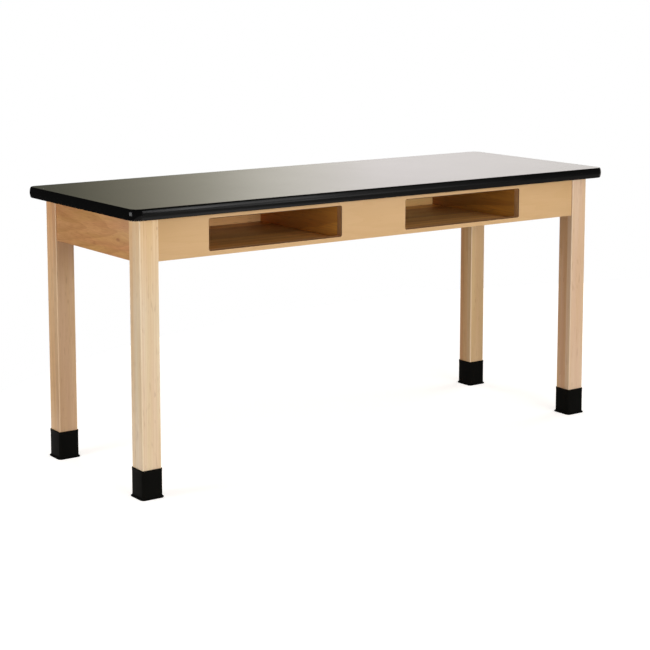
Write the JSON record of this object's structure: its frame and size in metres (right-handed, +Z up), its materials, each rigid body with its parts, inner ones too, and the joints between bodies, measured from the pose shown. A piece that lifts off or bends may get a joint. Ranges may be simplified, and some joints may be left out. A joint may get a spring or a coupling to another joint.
{
  "type": "lab table",
  "caption": "Rectangular lab table with a black laminate top, square wooden legs in black boots, and open book compartments behind cut-outs in the front apron.",
  "frame": {"origin": "on the floor under the middle of the worktop, at the bottom centre of the overall box", "axes": "+X along the length of the table, to the right of a person who faces the open compartments; +Y away from that person; +Z up"},
  "size_m": [1.63, 0.6, 0.762],
  "materials": {
    "black_laminate": "fine matt-textured high-pressure laminate, low sheen",
    "brown_backing": "plain phenolic backing sheet",
    "particleboard": "sanded particleboard, unfinished",
    "black_vinyl": "extruded vinyl, satin",
    "maple": "solid maple, clear lacquer, satin",
    "maple_veneer": "maple-faced board, clear lacquer, satin",
    "plywood": "dark-stained plywood, satin",
    "black_rubber": "moulded rubber, satin",
    "zinc_steel": "pressed and threaded steel, zinc plated"
  },
  "bodies": {
    "root": {"top_core": "particleboard", "top_laminate_sheet": "black_laminate", "top_backing_sheet": "brown_backing", "top_edge_band": "black_vinyl", "leg_front_left": "maple", "leg_front_right": "maple", "leg_back_right": "maple", "leg_back_left": "maple", "boot_front_left": "black_rubber", "boot_front_right": "black_rubber", "boot_back_right": "black_rubber", "boot_back_left": "black_rubber", "front_apron": "maple_veneer", "back_apron": "maple_veneer", "left_end_apron": "maple", "right_end_apron": "maple", "centre_cross_rail": "maple", "corner_brace_front_left": "zinc_steel", "corner_brace_front_right": "zinc_steel", "corner_brace_back_right": "zinc_steel", "corner_brace_back_left": "zinc_steel", "hanger_bolt_front_left": "zinc_steel", "hanger_bolt_front_right": "zinc_steel", "hanger_bolt_back_right": "zinc_steel", "hanger_bolt_back_left": "zinc_steel", "flange_nut_front_left": "zinc_steel", "flange_nut_front_right": "zinc_steel", "flange_nut_back_right": "zinc_steel", "flange_nut_back_left": "zinc_steel", "left_compartment_left_side": "plywood", "left_compartment_right_side": "plywood", "left_compartment_back": "plywood", "left_compartment_floor": "plywood", "right_compartment_left_side": "plywood", "right_compartment_right_side": "plywood", "right_compartment_back": "plywood", "right_compartment_floor": "plywood", "left_compartment_left_cleat": "maple", "left_compartment_right_cleat": "maple", "right_compartment_left_cleat": "maple", "right_compartment_right_cleat": "maple", "left_end_cleat": "maple", "right_end_cleat": "maple", "back_left_cleat": "maple", "back_right_cleat": "maple", "left_compartment_left_screw_1": "zinc_steel", "left_compartment_left_screw_2": "zinc_steel", "left_compartment_right_screw_1": "zinc_steel", "left_compartment_right_screw_2": "zinc_steel", "right_compartment_left_screw_1": "zinc_steel", "right_compartment_left_screw_2": "zinc_steel", "right_compartment_right_screw_1": "zinc_steel", "right_compartment_right_screw_2": "zinc_steel", "left_end_screw_1": "zinc_steel", "right_end_screw_1": "zinc_steel", "back_left_screw_1": "zinc_steel", "back_left_screw_2": "zinc_steel", "back_right_screw_1": "zinc_steel", "back_right_screw_2": "zinc_steel"}
  },
  "joints": []
}
